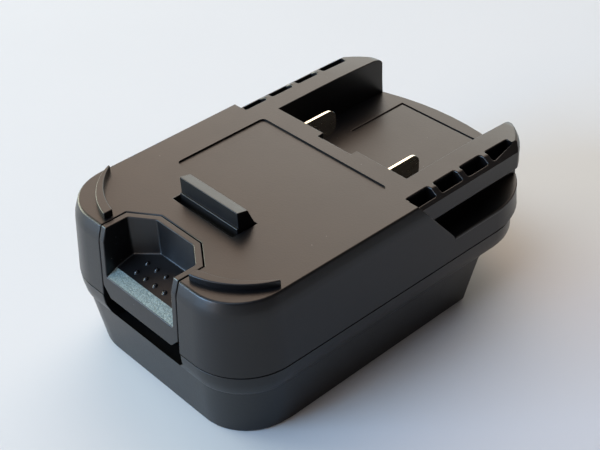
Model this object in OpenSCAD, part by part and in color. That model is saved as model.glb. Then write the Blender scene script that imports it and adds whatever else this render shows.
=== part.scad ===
// Slide-on battery adapter for a cordless tool.
// The upper face fits the tool: two flanged rails, an open contact recess and a sprung latch.
// The lower face takes the donor battery: a channel that is open to the rear and below.
// X is across, +Y is the way the adapter slides into the tool, +Z is up.
// The origin is at the middle of the base. All sizes are in millimetres.

/* [Housing] */
// Width across the parting line
body_w = 80; // [78:0.5:84]
// Length along the parting line
body_l = 120.4; // [118:0.2:126]
// Height of the deck above the base
deck_h = 45.5; // [45:0.5:50]
// Height of the parting line above the base
part_h = 23.2; // [22.6:0.1:24]
// Thickness of the side walls
wall = 2.4; // [2:0.1:3]
// Thickness of the deck
deck_t = 2; // [1.8:0.1:2.2]
// Thickness of the recess floor and of the ledges beside it
floor_t = 2.4; // [1.8:0.1:3]
// Corner radius in plan at the front
front_corner_r = 17; // [14:0.5:20]
// Corner radius in plan at the rear
rear_corner_r = 23; // [20:0.5:24]
// Radius of the bowed rear end
rear_bow_r = 86; // [78:1:160]
// How much narrower each side is at the front
front_narrow = 0.6; // [0:0.1:1.4]
// How far the upper walls lean in between the parting line and the edge band
wall_lean = 1.3; // [0.6:0.1:1.6]
// How far the edge band leans in
edge_in = 1.3; // [0.8:0.1:1.6]
// Height of the edge band under the deck
edge_drop = 3.8; // [3:0.1:5]

/* [Deck] */
// Width of the sunk panel in the deck
panel_w = 50.2; // [40:0.2:56]
// Length of the sunk panel
panel_l = 31.9; // [26:0.1:36]
// Depth of the sunk panel
panel_depth = 0.5; // [0.2:0.1:0.8]
// Corner radius of the sunk panel
panel_r = 1.5; // [0.5:0.1:3]
// Distance from the panel's rear wall back to the start of the rails
panel_lap = 0.9; // [0.2:0.1:3]
// Radius of the front corner ridges' outer faces
ridge_r = 24.8; // [23:0.1:26]
// Distance of the outer faces' centre from the middle
ridge_x = 12.9; // [12:0.1:13.4]
// Distance of the outer faces' centre from the front
ridge_setback = 29.1; // [28.6:0.1:31]
// Radius of the ridges' inner faces
ridge_inner_r = 27.2; // [26.6:0.1:28]
// Distance of the inner faces' centre from the middle
ridge_inner_x = 12.2; // [11.6:0.1:12.6]
// Distance of the inner faces' centre from the front
ridge_inner_setback = 34.2; // [33.6:0.1:34.8]
// Height of the ridges over the deck
ridge_h = 1.8; // [0.8:0.1:2.4]
// Distance of the ridges' inner ends from the middle
ridge_start = 17.6; // [17:0.1:20]
// Distance of the ridges' rear ends from the front
ridge_length = 19.1; // [15:0.1:20]

/* [Rails] */
// Length from the start of the rails to the rear of the body
rail_zone_l = 55; // [52:0.5:58]
// Clear width between the rails
rail_gap = 51.4; // [48:0.2:54]
// Width over the rails' webs, between the two side grooves
web_w = 62; // [59:0.5:64]
// Width over the flanges' outer faces
flange_w = 73.8; // [72:0.2:75]
// Inset of the rails' rear ends from the parting line
rail_end_in = 0.3; // [0.2:0.1:1.2]
// Height of the rounded edge at the rails' rear ends
rail_end_round = 2.4; // [1.6:0.1:3]
// Length of the slight fall of the rails' tops towards the rear
fall_l = 22; // [16:1:26]
// Drop of that fall
fall_drop = 0.6; // [0.3:0.1:1]
// Length of the rounding that ends the rails' tops
end_round_l = 3.6; // [2:0.1:4.5]
// Drop of that rounding
end_round_h = 2.6; // [1.5:0.1:3.2]
// Thickness of the flanges
flange_t = 7.8; // [7:0.1:9]
// Depth of the ledges under the deck
ledge_drop = 15.2; // [14.5:0.1:16.5]
// Run of the slanted wall that starts each groove
groove_run = 12.5; // [8:0.1:16]
// Width of the bevel along a rail's outer edge
bevel_w = 3.3; // [2.4:0.1:4]
// Drop of that bevel
bevel_drop = 2.2; // [1.2:0.1:3]
// Width left outside the windows
lip_w = 1.3; // [1:0.1:1.8]
// Number of windows in each rail
window_count = 4; // [2:1:4]
// Length of a window
window_l = 8.3; // [6:0.1:9]
// Length of the last window
last_window_l = 9.4; // [7:0.1:10]
// Distance from one window to the next
window_pitch = 10.4; // [9.5:0.1:10.8]
// Distance of the first window from the start of the rail
window_start = 0.3; // [0.2:0.1:1.5]
// Width of the windows
window_w = 3.4; // [2.5:0.1:4]
// Depth of the windows
window_depth = 6; // [4:0.1:6.4]
// Narrowing of the last window towards the rear
window_taper = 1.1; // [0:0.1:2]
// Rounding of the windows' corners
window_round = 0.7; // [0.3:0.1:1]

/* [Contact recess] */
// Distance from the start of the rails to the deck's rear edge
recess_setback = 7.5; // [6:0.1:9]
// Depth of the recess floor under the deck
recess_drop = 13; // [12:0.1:14]
// Width of the notch in the deck's rear edge
notch_w = 13.2; // [8:0.1:20]
// Length of the notch
notch_l = 2.2; // [1:0.1:2.3]
// Width between the lines on the recess floor
line_gap = 32.8; // [26:0.1:40]
// Width of a floor line
line_w = 0.6; // [0.4:0.1:1]
// Depth of a floor line
line_depth = 0.4; // [0.2:0.1:0.8]
// Length of the two long floor lines
line_l = 22; // [14:0.5:26]
// Distance of the cross line from the rear end
line_setback = 5; // [3:0.1:6]

/* [Latch] */
// Travel of the button and the hook
travel = 6; // [5:0.1:6.2]
// Gap around the button
button_gap = 0.3; // [0.2:0.05:0.5]
// Width of the button
button_w = 32.2; // [28:0.2:33]
// Width of the button's rear edge
button_back_w = 16.4; // [14.5:0.2:20]
// Length of the button from the housing's front
button_l = 16.1; // [15:0.1:16.6]
// Length of the button's straight sides
button_side_l = 10.6; // [8:0.1:11.4]
// Width of the button's rim
rim_t = 1.9; // [1.4:0.1:2.4]
// Depth of the thumb bucket at its rear wall
bucket_rear_depth = 10.8; // [9:0.1:12]
// Depth of the thumb bucket at its sill
bucket_front_depth = 13.5; // [12:0.1:14.5]
// Distance of the sill's inner edge from the front
sill_setback = 4; // [3:0.1:5]
// Run of the sill's slope
sill_run = 3.1; // [2:0.1:3.5]
// Drop of the sill over that run
sill_drop = 1.4; // [1:0.1:2.4]
// Height of the button's lower edge over the parting line
button_rise = 0.8; // [0.4:0.1:1.4]
// Cut at the button's lower corners
button_chamfer = 3; // [1:0.1:4]
// Thickness of the button under the thumb
button_floor_t = 1.5; // [1.2:0.1:2]
// Grip bumps in a row
bump_count = 5; // [3:1:6]
// Distance between grip bumps
bump_pitch = 4; // [3:0.1:4.4]
// Distance of the front row of bumps from the front
bump_setback = 6.2; // [5.6:0.1:7]
// Distance between the two rows of bumps
bump_row = 3.7; // [3:0.1:4.5]
// Diameter of a grip bump
bump_d = 1.4; // [1:0.1:2]
// Height of a grip bump
bump_h = 0.6; // [0.3:0.1:0.9]
// Width of the hook's slot in the deck
slot_w = 24.2; // [20:0.2:25]
// Length of the slot
slot_l = 8.3; // [7.5:0.1:9]
// Distance of the slot from the housing's front
slot_setback = 23.2; // [22.8:0.1:24]
// Play between the tooth and the slot
tooth_play = 0.3; // [0.25:0.05:0.6]
// Room left in the slot in front of the tooth
tooth_room = 2.5; // [1.5:0.1:3]
// Height of the tooth's front edge over the deck
tooth_h = 5.9; // [5:0.1:6]
// Drop of the tooth's top towards the rear
tooth_fall = 0.8; // [0:0.1:1.5]
// Length of the tooth's top
tooth_top_l = 3.5; // [2:0.1:4]
// Width of the small step at the tooth's foot
tooth_step = 0.5; // [0.2:0.1:1]
// Height of that step over the deck
tooth_step_h = 1.1; // [0.4:0.1:2]
// Width of the hook's plate
hook_w = 44; // [43:0.5:47]
// Length of the hook's plate
hook_l = 14; // [12.5:0.5:16]
// Thickness of the hook's plates
hook_t = 2.7; // [2.2:0.1:3.2]
// Width of the neck that joins the hook to the button
neck_w = 15; // [12:0.5:16]
// Height of the neck's upright
neck_h = 17; // [15:0.5:18]
// Rest clearance between the hook and the underside of the deck
stop_gap = 0.15; // [0.1:0.05:0.3]
// Distance between the two guide posts
guide_gap = 35; // [32:0.5:37]
// Diameter of the guide posts
guide_d = 4.4; // [3:0.1:5]
// Length of the guide posts
guide_l = 12.5; // [11:0.5:15]
// Distance between the two springs
spring_gap = 19; // [17:0.5:21]
// Outer diameter of the springs
spring_d = 7; // [6.4:0.1:7.6]
// Wire diameter of the springs
spring_wire = 0.9; // [0.7:0.1:1]
// Turns of each spring
spring_turns = 7; // [5:1:9]
// Diameter of the pins inside the springs
spring_pin_d = 4; // [3:0.1:4.4]
// Length of the pins inside the springs
spring_pin_l = 6; // [4:0.5:7]

/* [Tool contacts] */
// Distance between the two blades
blade_gap = 33.8; // [30:0.2:36]
// Thickness of the blades
blade_t = 0.8; // [0.6:0.1:1.2]
// Height of the blades
blade_h = 8.4; // [7.5:0.1:8.8]
// Depth of the blades' top edge under the deck
blade_drop = 2.3; // [2.25:0.05:2.6]
// Reach of the blades behind the deck's rear edge
blade_reach = 14; // [10:0.5:18]
// Radius of the blades' rounded ends
blade_r = 3; // [1:0.1:3.6]
// Height of the tab at the blades' inner end
tab_h = 6.3; // [4.8:0.1:6.6]
// Length of the tab
tab_l = 7; // [6:0.1:8]
// Length of the carrier that holds the blades
carrier_l = 9.5; // [8:0.1:10]
// Plastic beside each blade in the carrier
carrier_side = 3; // [2.5:0.1:3.4]
// Plastic under the blades in the carrier
carrier_under = 2.4; // [1.6:0.1:2.6]
// Plastic under the blades in the carrier's nose
nose_under = 1; // [0.6:0.1:1.2]
// Width of the carrier's screw ears
ear_w = 7; // [6.4:0.1:7.4]
// Thickness of the carrier's ears
ear_t = 3; // [2:0.1:3.4]
// Clearance around pieces that are pushed into place
fit_gap = 0.05; // [0.03:0.01:0.1]

/* [Donor socket] */
// Height of the socket above the base
socket_h = 16.2; // [16:0.1:16.6]
// Clear width of the socket
socket_w = 63; // [60:0.5:64]
// Distance of the socket's front wall from the housing's front
socket_setback = 20; // [19.5:0.5:21]
// Thickness of the plate over the socket
plate_t = 2; // [1.6:0.1:2.4]
// Reach of the socket's ledges
hook_reach = 5; // [4.2:0.1:6]
// Thickness of the socket's ledges
hook_ledge_t = 2.5; // [2:0.1:3]
// Height of the ledges above the base
hook_ledge_h = 1.2; // [0.6:0.1:1.6]
// Distance of the ledges from the socket's front wall
hook_ledge_setback = 8; // [4:0.5:20]
// Width of the pocket that takes the donor's catch
catch_w = 18; // [14:0.5:22]
// Length of the pocket
catch_l = 8; // [6:0.5:10]
// Depth of the pocket
catch_depth = 5; // [4.4:0.1:5.4]
// Distance of the pocket from the rear end
catch_setback = 16; // [14:0.5:20]
// Width of the terminal block
block_w = 32; // [30:0.5:34]
// Length of the terminal block
block_l = 12; // [11:0.5:13]
// Depth of the terminal block below the plate
block_drop = 12; // [10:0.5:13]
// Distance of the block from the socket's front wall
block_setback = 18; // [16:0.5:19]
// Width of the block's rim on the plate
block_rim = 1.5; // [1:0.1:1.7]
// Thickness of the block's rim
block_rim_t = 2.4; // [1.6:0.1:3]
// Distance between the two power blades of the socket
socket_blade_gap = 24; // [20:0.5:26]
// Reach of the socket's power blades behind the block
socket_blade_reach = 16; // [12:0.5:18]
// How much shorter the signal blade is
signal_short = 6; // [2:0.5:8]
// Height of the socket's blades
socket_blade_h = 6; // [4:0.1:6.4]
// Width of the tails that stand up to the board
tail_w = 4; // [3:0.1:5]

/* [Lower shell] */
// Height of the crease under the edge band
crease_h = 16.6; // [16.2:0.1:17]
// How far the band turns in at the crease
band_in = 1.5; // [0.8:0.1:2]
// How far the front of the base lies inside the parting line
base_front_in = 3.5; // [2.4:0.1:3.8]
// How far the sides of the base lie inside the parting line
base_side_in = 4.4; // [3.6:0.1:4.8]
// Corner radius of the base
base_corner_r = 15; // [13:0.5:18]
// Length of the base from the housing's front
base_l = 87.5; // [80:0.5:95]
// How much longer the skirts are at the crease than at the base
skirt_rake = 2.5; // [0:0.1:5]
// Distance of the side panels from the housing's front
side_panel_setback = 21.5; // [20:0.5:26]
// Inset of the side panels at the crease
side_panel_top = 0.4; // [0.2:0.1:0.8]
// Inset of the side panels at the base
side_panel_base = 0.6; // [0.3:0.1:0.8]
// Thickness of the base
base_t = 2.4; // [2:0.1:3]

/* [Board and leads] */
// Width of the circuit board
board_w = 48; // [46:0.5:52]
// Length of the circuit board
board_l = 34; // [32:0.5:35]
// Thickness of the circuit board
board_t = 1.6; // [1:0.1:2]
// Height of the board over the plate
board_stand = 5; // [4.5:0.1:5.5]
// Distance of the board's middle behind the middle of the terminal block
board_shift = 6; // [5:0.5:7]
// Diameter of the board's standoffs
stand_d = 6; // [5:0.1:6.4]
// Distance of the board's screws from its edges
board_margin = 3.2; // [3:0.1:3.4]
// Width of a power transistor
transistor_w = 6.6; // [5:0.1:7]
// Length of a power transistor
transistor_l = 6; // [5:0.1:7]
// Height of a power transistor
transistor_h = 2.3; // [1.5:0.1:3]
// Width of its metal tab
transistor_tab_w = 5.4; // [4:0.1:6]
// Reach of its metal tab
transistor_tab_l = 2; // [1:0.1:2.4]
// Thickness of its metal tab
transistor_tab_t = 0.5; // [0.3:0.1:0.8]
// Width of the control chip
chip_w = 4.9; // [4:0.1:6]
// Length of the control chip
chip_l = 3.9; // [3:0.1:5]
// Height of the control chip
chip_h = 1.5; // [1:0.1:2]
// Width of the chip's legs
chip_leg_w = 0.4; // [0.3:0.05:0.5]
// Reach of the chip's legs
chip_leg_l = 1; // [0.6:0.1:1.4]
// Thickness of the chip's legs
chip_leg_t = 0.3; // [0.2:0.05:0.4]
// Diameter of the two power leads
lead_d = 3; // [2.4:0.1:3.2]
// Length of the crimped barrel on a lead
barrel_l = 5.5; // [4:0.1:5.8]
// Metal thickness of the crimped terminals
crimp_t = 0.5; // [0.3:0.1:0.8]
// Straight length of a lead before its bend
lead_run = 6; // [5.8:0.1:7]
// Radius of the bend
lead_bend_r = 4; // [3:0.1:5]
// Height of the leads' last bend over the board
lead_rise = 6.7; // [5:0.1:8]
// Distance of the leads' ends from the board's front edge
lead_board_in = 8.7; // [8:0.1:9.4]

/* [Fasteners] */
// Diameter of the housing screws
screw_d = 2.9; // [2.5:0.1:3.2]
// Length of the housing screws under the head
screw_l = 14; // [12:0.5:15]
// Head diameter of the housing screws
screw_head_d = 5.6; // [5:0.1:6]
// Head height of the housing screws
screw_head_h = 2.2; // [1.8:0.1:2.3]
// Diameter of the bosses around the housing screws
boss_d = 8; // [7:0.1:8.4]
// Distance of the front housing screws from the middle
front_screw_x = 22; // [21.5:0.1:22.4]
// Distance of the front housing screws from the housing's front
front_screw_setback = 13; // [12.6:0.1:13.4]
// Distance of the rear housing screws from the rear end
rear_screw_setback = 17; // [16.5:0.5:20]
// Diameter of the small screws
small_screw_d = 2.2; // [1.8:0.1:2.4]
// Length of the small screws under the head
small_screw_l = 6; // [5:0.5:6.5]
// Head diameter of the small screws
small_head_d = 4.2; // [3.6:0.1:4.4]
// Head height of the small screws
small_head_h = 1.5; // [1.2:0.1:1.8]

/* [Hidden] */
$fn = 48;
cut = 1;
shell_color = [0.14, 0.14, 0.15];
latch_color = [0.17, 0.17, 0.18];
insulator_color = [0.2, 0.2, 0.22];
plated_color = [0.82, 0.8, 0.72];
brass_color = [0.78, 0.66, 0.36];
steel_color = [0.62, 0.63, 0.65];
board_color = [0.1, 0.32, 0.18];
chip_color = [0.08, 0.08, 0.09];
red_color = [0.7, 0.08, 0.06];
black_color = [0.06, 0.06, 0.07];

// Places along the body
half_w = body_w / 2;
front_y = -body_l / 2;
rear_y = body_l / 2;
far = body_l;
step_y = rear_y - rail_zone_l;
recess_y = step_y + recess_setback;
button_back_y = front_y + button_l;
slot_y = front_y + slot_setback;
socket_y = front_y + socket_setback;

// Heights
deck_under = deck_h - deck_t;
floor_h = deck_h - recess_drop;
ledge_h = deck_h - ledge_drop;
flange_under = deck_h - flange_t;
tray_h = socket_h + plate_t;
board_h = tray_h + board_stand;
board_top = board_h + board_t;

// Insets of the skin from the parting line, from the deck down to the base
deck_in = wall_lean + edge_in;
cavity_in = deck_in + wall;
tray_in = band_in + wall;
band_shoulder = [0.42, 0.15];
band_turn = [0.8, 0.47];
crease_lap = 0.5;
parting_steps = 12;
bow_steps = 8;

// Latch
hook_top = deck_under - stop_gap;
hook_under = hook_top - hook_t;
tooth_w = slot_w - 2 * tooth_play;
tooth_front_y = slot_y + tooth_room;
tooth_rear_y = slot_y + slot_l - tooth_play;
tooth_mid_y = (tooth_front_y + tooth_rear_y) / 2;
hook_y = tooth_mid_y - hook_l / 2;
upright_y = button_back_y + button_gap;
button_low = part_h + button_rise;
sill_y = front_y + sill_setback;
core_top = deck_h - bucket_front_depth - sill_drop - button_floor_t;
latch_screw_x = 5;
latch_screw_h = (core_top + deck_h - bucket_rear_depth) / 2;
spring_play = 0.05;
// Fence behind the button that keeps dirt off the board
fence_y = upright_y + hook_t + small_head_h + 0.8;
fence_t = 1.4;
fence_h = 8;

// Tool contacts
blade_x = blade_gap / 2;
blade_top = deck_h - blade_drop;
blade_mid = blade_top - blade_h / 2;
carrier_y = recess_y - wall - carrier_l;
carrier_h = blade_top - blade_h - carrier_under;
carrier_w = blade_gap + 2 * carrier_side;
nose_y = recess_y - 2 * fit_gap;
nose_h = blade_top - blade_h - nose_under;
ear_top = carrier_h + ear_t;
ear_x = carrier_w / 2 + ear_w / 2;
ear_y = carrier_y + carrier_l / 2;

// Donor socket
block_y = socket_y + block_setback;
block_h = socket_h - block_drop;
socket_blade_low = block_h + 2;
tail_y = block_y + block_l / 2 - tail_w / 2;
tail_top = board_top + 1.5;
catch_y = rear_y - catch_setback - catch_l;
skirt_end = front_y + base_l;

// Board
board_y = block_y + block_l / 2 - board_l / 2 + board_shift;
board_screw_x = board_w / 2 - board_margin;
board_screw_y = [board_y + board_margin, board_y + board_l - board_margin];

// Housing screws as [x, y, height of the seat]
front_screw_y = front_y + front_screw_setback;
rear_screw_y = rear_y - rear_screw_setback;
rear_screw_x = (rail_gap + web_w) / 4;
rear_seat_h = tray_h + 0.8;
screw_seats = [[front_screw_x, front_screw_y, crease_h], [rear_screw_x, rear_screw_y, rear_seat_h]];

// Route of a power lead as [y, z], from its crimped barrel round a bend to the board
lead_y = carrier_y - tab_l - crimp_t - 6 * fit_gap;
lead_board_y = board_y + lead_board_in;
lead_route = concat([[lead_y, blade_mid]],
    [for (a = [0 : 22.5 : 90])
        [lead_y - lead_run - lead_bend_r * sin(a), blade_mid - lead_bend_r * (1 - cos(a))]],
    [[lead_board_y, board_top + lead_rise], [lead_board_y, board_top]]);

// Plane geometry
function unit(v) = v / norm(v);
function arc(c, r, a0, a1, n) = [for (i = [0 : n])
    let (a = a0 + (a1 - a0) * i / n) c + r * [cos(a), sin(a)]];
function mirrored(p) = [for (i = [len(p) - 1 : -1 : 0]) [-p[i].x, p[i].y]];

// Moves every edge of a closed outline inwards by t
function inset(p, t) = let (n = len(p)) [for (i = [0 : n - 1])
    let (a = unit(p[i] - p[(i + n - 1) % n]), b = unit(p[(i + 1) % n] - p[i]),
        m = [-a.y, a.x], k = [-b.y, b.x])
    p[i] + t * (m + k) / (1 + m * k)];

// A rectangle with round corners, from its middle front
function rounded(w, l, r) =
    let (q = concat(arc([w / 2 - r, r], r, -90, 0, 6), arc([w / 2 - r, l - r], r, 0, 90, 6)))
    concat(q, mirrored(q));

// Rounds the corners of an outline over the length s of each side
function soft(p, s) = let (n = len(p)) [for (i = [0 : n - 1])
    let (a = unit(p[(i + n - 1) % n] - p[i]), b = unit(p[(i + 1) % n] - p[i]))
    for (k = [0 : 3]) let (t = k / 3) p[i] + s * ((1 - t) ^ 2 * a + t ^ 2 * b)];

// Plan of the housing at the parting line
function front_corner(side, front, r) =
    arc([half_w - front_narrow - side - r, front_y + front + r], r, -90, 0, parting_steps);
bow_c = rear_y - rear_bow_r;
rear_corner_x = half_w - rear_corner_r;
rear_corner_y = bow_c + sqrt((rear_bow_r - rear_corner_r) ^ 2 - rear_corner_x ^ 2);
bow_a = atan2(rear_corner_y - bow_c, rear_corner_x);
rear_corner = arc([rear_corner_x, rear_corner_y], rear_corner_r, 0, bow_a, parting_steps);
rear_bow = arc([0, bow_c], rear_bow_r, bow_a, 180 - bow_a, bow_steps);
half_plan = concat(front_corner(0, 0, front_corner_r), rear_corner);
plan = concat(half_plan, [for (i = [1 : bow_steps - 1]) rear_bow[i]], mirrored(half_plan));

// Rear end of the rails at their inner faces, and the line of their tops as [y, z] up to it
rail_end_y = rear_corner_y + sqrt((rear_corner_r - rail_end_in) ^ 2 - (rail_gap / 2 - rear_corner_x) ^ 2);
rail_fall = concat(
    [for (i = [0 : 3]) let (s = i / 3)
        [rail_end_y - end_round_l - (1 - s) * fall_l, deck_h - fall_drop * s * s]],
    [for (a = [15 : 15 : 90])
        [rail_end_y - end_round_l * (1 - sin(a)), deck_h - fall_drop - end_round_h * (1 - cos(a))]]);

// Plan of the lower body at one height, with a square rear end
function base_plan(side, front, r, y1) =
    let (q = concat(front_corner(side, front, r), [[half_w - side, y1]])) concat(q, mirrored(q));

// Plan of the button; its front is open by the given length
function button_plan(open) = let (b = button_w / 2, c = button_back_w / 2, y0 = front_y - open)
    [[-b, y0], [b, y0], [b, front_y + button_side_l], [c, button_back_y], [-c, button_back_y],
        [-b, front_y + button_side_l]];

// Height of the thumb bucket's floor
function bucket_floor(y) = deck_h - bucket_rear_depth - (bucket_front_depth - bucket_rear_depth)
    * (button_back_y - y) / (button_back_y - sill_y);

// Faces of a closed skin through m rings of n points
function skin_faces(n, m) = concat([[for (i = [0 : n - 1]) i]],
    [for (k = [0 : m - 2]) for (i = [0 : n - 1])
        let (a = k * n + i, b = k * n + (i + 1) % n) each [[a, a + n, b], [b, a + n, b + n]]],
    [[for (i = [n - 1 : -1 : 0]) (m - 1) * n + i]]);

// Closed skin through stacked outlines, each given as [height, outline]
module loft(rings) {
    points = [for (r = rings) for (p = r[1]) [p.x, p.y, r[0]]];
    polyhedron(points, skin_faces(len(rings[0][1]), len(rings)));
}

// Round tube along a path; each side direction turns the ring at its point
module tube(path, side_dirs, d, sides) {
    n = len(path);
    points = [for (i = [0 : n - 1])
        let (t = unit(path[min(i + 1, n - 1)] - path[max(i - 1, 0)]), s = side_dirs[i],
            u = unit(s - (s * t) * t), v = cross(t, u))
        for (k = [0 : sides - 1]) path[i] + d / 2 * (cos(360 * k / sides) * u + sin(360 * k / sides) * v)];
    polyhedron(points, skin_faces(sides, n));
}

module slab(p, z0, z1) {
    translate([0, 0, z0]) linear_extrude(z1 - z0) polygon(p);
}

// Outline in Y and Z, extruded along X
module across(p, x0, x1) {
    translate([x0, 0, 0]) rotate([90, 0, 90]) linear_extrude(x1 - x0) polygon(p);
}

// Outline in X and Z, extruded along Y
module along(p, y0, y1) {
    translate([0, y1, 0]) rotate([90, 0, 0]) linear_extrude(y1 - y0) polygon(p);
}

module block(x0, x1, y0, y1, z0, z1) {
    translate([x0, y0, z0]) cube([x1 - x0, y1 - y0, z1 - z0]);
}

module post(x, y, z0, z1, d) {
    translate([x, y, z0]) cylinder(d = d, h = z1 - z0);
}

module both_sides() {
    children();
    mirror([1, 0, 0]) children();
}

// Screw with its seat at the origin, its shank along +Z and a crossed drive in its head
module screw(d, l, head_d, head_h) {
    drive_w = head_d / 6;
    cylinder(d = d, h = l);
    difference() {
        translate([0, 0, -head_h]) cylinder(d = head_d, h = head_h);
        for (a = [0, 90]) rotate([0, 0, a])
            block(-head_d / 3, head_d / 3, -drive_w / 2, drive_w / 2, -head_h - cut, -head_h / 2);
    }
}

// Outer skin of the upper shell
module top_skin() {
    loft([[part_h, plan], [deck_h - edge_drop, inset(plan, wall_lean)], [deck_h, inset(plan, deck_in)]]);
}

// Space behind the slanted wall that starts the rails, over the ledges
module rail_space(x0, x1, z1) {
    slant = groove_run / ledge_drop;
    across([[step_y + groove_run, ledge_h], [far, ledge_h], [far, z1], [step_y + slant * (deck_h - z1), z1]],
        x0, x1);
}

// Rails' outer form: upright flange and bevel
module rail_form() {
    x1 = flange_w / 2;
    x2 = x1 - bevel_w * (1 + 2 * cut / bevel_drop);
    z1 = deck_h - bevel_drop;
    z2 = deck_h + 2 * cut;
    along([[-x1, 0], [x1, 0], [x1, z1], [x2, z2], [-x2, z2], [-x1, z1]], -far, far);
}

// Upright rear ends of the rails, round at the top
module rail_ends() {
    turn = deck_in - rail_end_in;
    intersection() {
        loft([[ledge_h - cut, inset(plan, rail_end_in)],
            [deck_h - rail_end_round, inset(plan, rail_end_in)],
            [deck_h - rail_end_round / 3, inset(plan, rail_end_in + turn / 3)],
            [deck_h, inset(plan, deck_in)]]);
        block(-far, far, step_y + groove_run, far, 0, far);
    }
}

module rail_cuts() {
    block(-rail_gap / 2, rail_gap / 2, recess_y, far, floor_h, deck_h + cut);
    block(-notch_w / 2, notch_w / 2, recess_y - notch_l, recess_y + cut, deck_under - cut, deck_h + cut);
    difference() {
        rail_space(-far, far, deck_h + cut);
        rail_form();
        block(-web_w / 2, web_w / 2, -far, 2 * far, 0, flange_under);
        block(-rail_gap / 2, rail_gap / 2, -far, 2 * far, 0, deck_h);
    }
    both_sides() rail_space(web_w / 2, far, flange_under);
    across(concat(rail_fall, [[far, rail_fall[len(rail_fall) - 1].y], [far, deck_h + cut],
        [rail_fall[0].x, deck_h + cut]]), -far, far);
}

module window_cuts() {
    x1 = flange_w / 2 - lip_w;
    x0 = x1 - window_w;
    for (i = [0 : window_count - 1]) {
        y0 = step_y + window_start + i * window_pitch;
        last = i == window_count - 1;
        y1 = y0 + (last ? last_window_l : window_l);
        x2 = last ? x1 - window_taper : x1;
        slab(soft([[x0, y0], [x1, y0], [x2, y1], [x0, y1]], window_round),
            deck_h - window_depth, deck_h + cut);
    }
}

// Raised arc on a front corner of the deck
module ridge() {
    intersection() {
        difference() {
            post(ridge_x, front_y + ridge_setback, deck_under, deck_h + ridge_h, 2 * ridge_r);
            post(ridge_inner_x, front_y + ridge_inner_setback, 0, far, 2 * ridge_inner_r);
        }
        block(ridge_start, far, -far, front_y + ridge_length, 0, far);
    }
}

// Hollow of the upper shell
module top_cavity() {
    intersection() {
        slab(inset(plan, cavity_in), part_h - cut, deck_under);
        union() {
            block(-far, far, -far, step_y - wall, 0, deck_h);
            block(-web_w / 2 + wall, web_w / 2 - wall, -far, recess_y - wall, 0, deck_h);
            block(-far, far, -far, far, 0, ledge_h - floor_t);
            block(-rail_gap / 2, rail_gap / 2, -far, far, 0, floor_h - floor_t);
        }
    }
}

// What stands in the hollow: screw bosses and guide posts
module top_inside() {
    both_sides() {
        post(front_screw_x, front_screw_y, 0, deck_h - cut, boss_d);
        post(rear_screw_x, rear_screw_y, 0, floor_h, boss_d);
        post(guide_gap / 2, tooth_mid_y, deck_under - guide_l, deck_h - cut, guide_d);
        post(ear_x, ear_y, ear_top, deck_h - cut, ear_w - 2 * fit_gap);
    }
}

module top_shell() color(shell_color) difference() {
    union() {
        difference() {
            union() {
                top_skin();
                rail_ends();
            }
            rail_cuts();
        }
        both_sides() ridge();
    }
    difference() {
        top_cavity();
        top_inside();
    }
    slab(inset(button_plan(cut), -button_gap), part_h - cut, deck_h + ridge_h + cut);
    block(-slot_w / 2, slot_w / 2, slot_y, slot_y + slot_l, deck_under - cut, deck_h + cut);
    translate([0, step_y + panel_lap - panel_l, 0])
        slab(rounded(panel_w, panel_l, panel_r), deck_h - panel_depth, deck_h + cut);
    both_sides() {
        window_cuts();
        block(line_gap / 2 - line_w, line_gap / 2, rear_y - line_setback - line_l, rear_y - line_setback,
            floor_h - line_depth, floor_h + cut);
        for (s = screw_seats) post(s.x, s.y, 0, s.z + screw_l + cut, screw_d + 2 * fit_gap);
        post(ear_x, ear_y, 0, carrier_h + small_screw_l + cut, small_screw_d + 2 * fit_gap);
    }
    block(-line_gap / 2, line_gap / 2, rear_y - line_setback - line_w, rear_y - line_setback,
        floor_h - line_depth, floor_h + cut);
    block(-carrier_w / 2 - fit_gap, carrier_w / 2 + fit_gap, recess_y - wall - cut, recess_y + cut,
        nose_h - fit_gap, deck_under);
}

// Outer skin of the lower shell: a band that turns in at a crease, over a tapered body
module bottom_skin() {
    band_h = part_h - crease_h;
    loft([[crease_h, inset(plan, band_in)],
        [part_h - band_turn.x * band_h, inset(plan, band_turn.y * band_in)],
        [part_h - band_shoulder.x * band_h, inset(plan, band_shoulder.y * band_in)],
        [part_h, plan]]);
    difference() {
        loft([[0, base_plan(base_side_in, base_front_in, base_corner_r, skirt_end)],
            [crease_h + crease_lap,
                base_plan(band_in, band_in, front_corner_r - band_in, skirt_end + skirt_rake)]]);
        both_sides() side_panel();
    }
}

// Inclined panel let into each side of the lower body
module side_panel() {
    x_top = half_w - band_in - side_panel_top;
    x_base = half_w - base_side_in - side_panel_base;
    along([[x_top, crease_h - 0.4], [x_base, -cut / 10], [far, -cut / 10], [far, crease_h - 0.4]],
        front_y + side_panel_setback, far);
}

// Hollows of the lower shell: the tray, the front box, the socket and the button's travel gap
module bottom_hollows() {
    slab(inset(plan, tray_in), tray_h, part_h + cut);
    intersection() {
        slab(inset(base_plan(base_side_in, base_front_in, base_corner_r, skirt_end), wall), base_t,
            part_h + cut);
        block(-far, far, -far, socket_y - wall, 0, far);
    }
    block(-socket_w / 2, socket_w / 2, socket_y, far, -cut, socket_h);
    gap_x = button_w / 2 + 2 * button_gap;
    gap_low = crease_h + 0.1;
    along([[-gap_x, part_h + cut], [-gap_x, gap_low + button_chamfer], [-gap_x + button_chamfer, gap_low],
        [gap_x - button_chamfer, gap_low], [gap_x, gap_low + button_chamfer], [gap_x, part_h + cut]],
        front_y - cut, front_y + button_side_l);
}

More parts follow.
